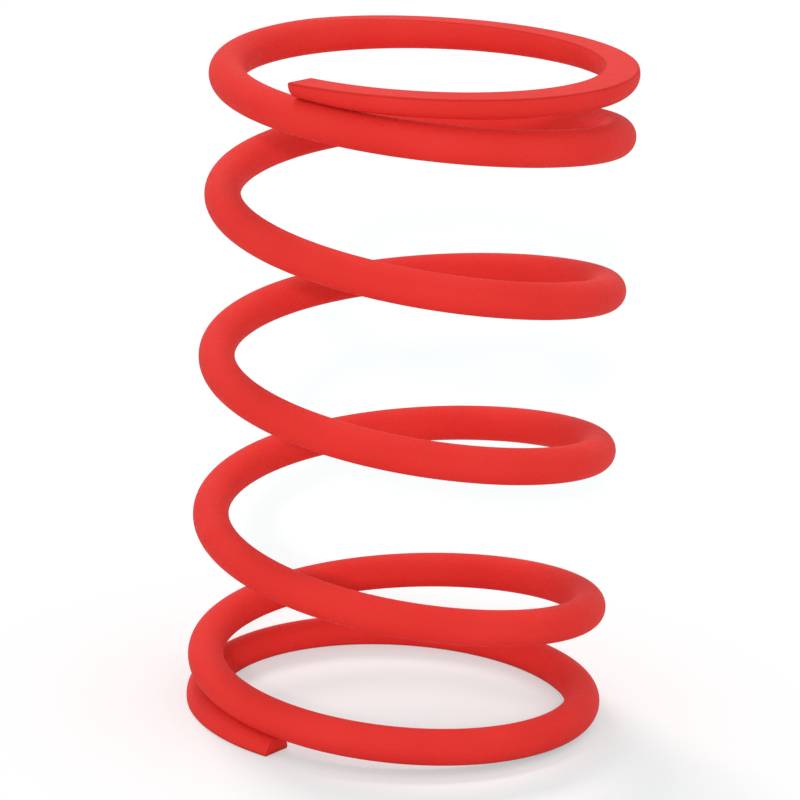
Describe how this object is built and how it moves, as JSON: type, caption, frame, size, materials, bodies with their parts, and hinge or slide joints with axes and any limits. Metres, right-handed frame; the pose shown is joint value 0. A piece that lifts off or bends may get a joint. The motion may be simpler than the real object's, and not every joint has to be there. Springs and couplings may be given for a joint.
{
  "type": "clutch spring",
  "caption": "Left-hand coiled compression spring of round red-painted wire with both end turns closed and ground flat, for loading a clutch or belt pulley.",
  "frame": {"origin": "centre of the coil at the lower ground face, which the spring stands on", "axes": "+Z along the coil's axis, from the lower ground face to the upper one; +X to the right and -Y towards the viewer as the spring is pictured"},
  "size_m": [0.0584, 0.0584, 0.0935],
  "materials": {
    "red_paint": "smooth red paint, low sheen"
  },
  "bodies": {
    "root": {"spring": "red_paint"}
  },
  "joints": []
}
